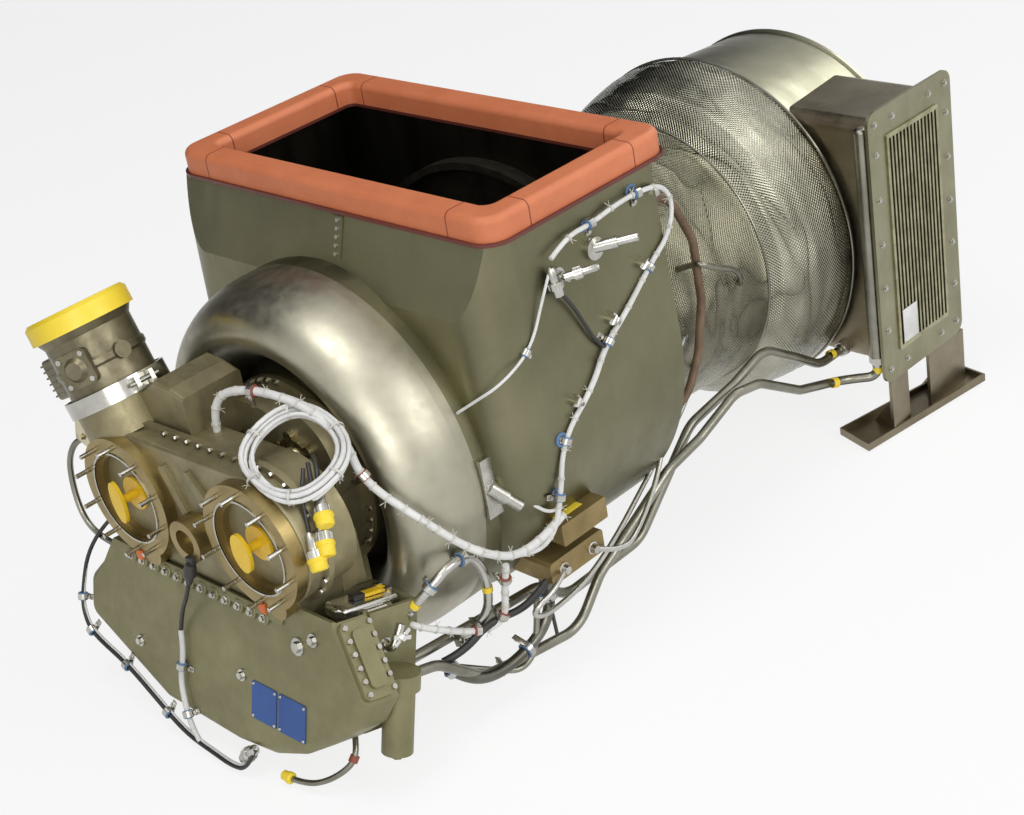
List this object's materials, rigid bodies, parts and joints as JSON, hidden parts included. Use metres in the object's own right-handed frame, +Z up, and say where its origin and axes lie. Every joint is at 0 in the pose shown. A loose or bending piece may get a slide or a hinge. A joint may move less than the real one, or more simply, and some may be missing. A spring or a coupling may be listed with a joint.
{
  "type": "auxiliary power unit",
  "caption": "Gas turbine auxiliary power unit with a gearbox, oil sump, top intake plenum, wrapped hot section and side oil cooler.",
  "frame": {"origin": "on the shaft axis, in the plane of the seam between the nose ring and the intake plenum", "axes": "+Y along the shaft towards the exhaust, +Z up through the intake mouth, +X towards the oil cooler"},
  "size_m": [0.7645, 1.4952, 0.754],
  "materials": {
    "seal_rubber": "moulded, slightly dusty",
    "maroon_flange": "satin",
    "grey_skin": "blasted sheet",
    "olive_casting": "satin over cast skin",
    "bronze_casting": "machined with a gold film",
    "bright_steel": "turned and brushed",
    "light_alloy": "machined",
    "foil_blanket": "dimpled foil",
    "cooler_metal": "sheet with a tan film",
    "yellow_plastic": "moulded",
    "blue_plate": "anodised, bare",
    "brown_hose": "braided sleeve",
    "blue_rubber": "cushion",
    "white_sleeve": "woven sleeve with ties"
  },
  "bodies": {
    "frame_body": {"accessory_cover": "bronze_casting", "adapter_ring": "bronze_casting", "bearing_carrier": "light_alloy", "blanket_front": "foil_blanket", "blanket_rear": "foil_blanket", "bleed_hose": "brown_hose", "combustor_casing": "bright_steel", "combustor_liner": "bright_steel", "compressor_casing": "light_alloy", "control_boxes": "bronze_casting", "cooler_core": "cooler_metal", "cooler_duct": "cooler_metal", "cooler_header": "bright_steel", "cooler_plate": "cooler_metal", "data_plates": "blue_plate", "elbow_duct": "olive_casting", "exhaust_barrel": "bright_steel", "exhaust_duct": "bright_steel", "fasteners": "bright_steel", "filter_bowl": "olive_casting", "fuel_nozzles": "bright_steel", "gearbox_case": "olive_casting", "generator_pads": "bronze_casting", "harness_clamps": "blue_rubber", "intake_plenum": "grey_skin", "intake_seal": "seal_rubber", "nose_cone_plate": "grey_skin", "nose_ring": "grey_skin", "oil_tubes": "bright_steel", "pad_studs": "bright_steel", "rear_bulkhead": "grey_skin", "seal_retainer": "maroon_flange", "sensors": "bright_steel", "shaft_bearings": "bright_steel", "shaft_port": "bronze_casting", "shaft_tunnel": "light_alloy", "shipping_plugs": "yellow_plastic", "skid_bracket": "cooler_metal", "sump_housing": "olive_casting", "sump_plugs": "bright_steel", "sump_side_cover": "olive_casting", "turbine_casing": "bright_steel", "turbine_nozzle": "bright_steel", "v_band_clamp": "bright_steel", "valve_actuator": "olive_casting", "valve_body": "olive_casting", "valve_cap": "yellow_plastic", "wiring_harness": "white_sleeve"},
    "rotor": {"main_shaft": "bright_steel", "drive_pinions": "bright_steel", "impeller": "light_alloy", "turbine_wheels": "bright_steel"},
    "generator_gear_left": {"generator_gear_left": "bright_steel"},
    "generator_gear_right": {"generator_gear_right": "bright_steel"},
    "accessory_gear": {"accessory_gear": "bright_steel"},
    "oil_pump_gear": {"oil_pump_gear": "bright_steel"},
    "valve_disc": {"valve_disc": "bright_steel"},
    "filler_cap": {"filler_cap": "bright_steel"},
    "filler_lever": {"filler_lever": "yellow_plastic"}
  },
  "joints": [
    {"name": "rotor_spin", "type": "hinge", "parent": "frame_body", "child": "rotor", "pos_m": [0, 0, 0], "axis": [0, 1, 0], "continuous": true},
    {"name": "valve_turn", "type": "hinge", "parent": "frame_body", "child": "valve_disc", "pos_m": [-0.23365, -0.228, 0.20328], "axis": [0.9092, 0, 0.4163], "range_deg": [0, 90]},
    {"name": "filler_cap_hinge", "type": "hinge", "parent": "frame_body", "child": "filler_cap", "pos_m": [0.252, -0.19133, -0.09664], "axis": [0, 0.9588, -0.284], "range_deg": [0, 100]},
    {"name": "filler_lever_hinge", "type": "hinge", "parent": "filler_cap", "child": "filler_lever", "pos_m": [0.222, -0.1512, -0.09497], "axis": [-1, 0, 0], "range_deg": [0, 80]},
    {"name": "generator_gear_left_spin", "type": "hinge", "parent": "frame_body", "child": "generator_gear_left", "pos_m": [-0.14815, -0.2, 0.02347], "axis": [0, 1, 0], "continuous": true},
    {"name": "generator_gear_right_spin", "type": "hinge", "parent": "frame_body", "child": "generator_gear_right", "pos_m": [0.14644, -0.2, 0.03247], "axis": [0, 1, 0], "continuous": true},
    {"name": "accessory_gear_spin", "type": "hinge", "parent": "frame_body", "child": "accessory_gear", "pos_m": [0.09495, -0.2, 0.08283], "axis": [0, 1, 0], "continuous": true},
    {"name": "oil_pump_gear_spin", "type": "hinge", "parent": "frame_body", "child": "oil_pump_gear", "pos_m": [0, -0.2, -0.106], "axis": [0, 1, 0], "continuous": true}
  ],
  "couplings": [
    {"joint": "generator_gear_left_spin", "follows": "rotor_spin", "ratio": -0.78571},
    {"joint": "generator_gear_right_spin", "follows": "rotor_spin", "ratio": -0.78571},
    {"joint": "accessory_gear_spin", "follows": "rotor_spin", "ratio": -1.1},
    {"joint": "oil_pump_gear_spin", "follows": "rotor_spin", "ratio": -1.65}
  ]
}
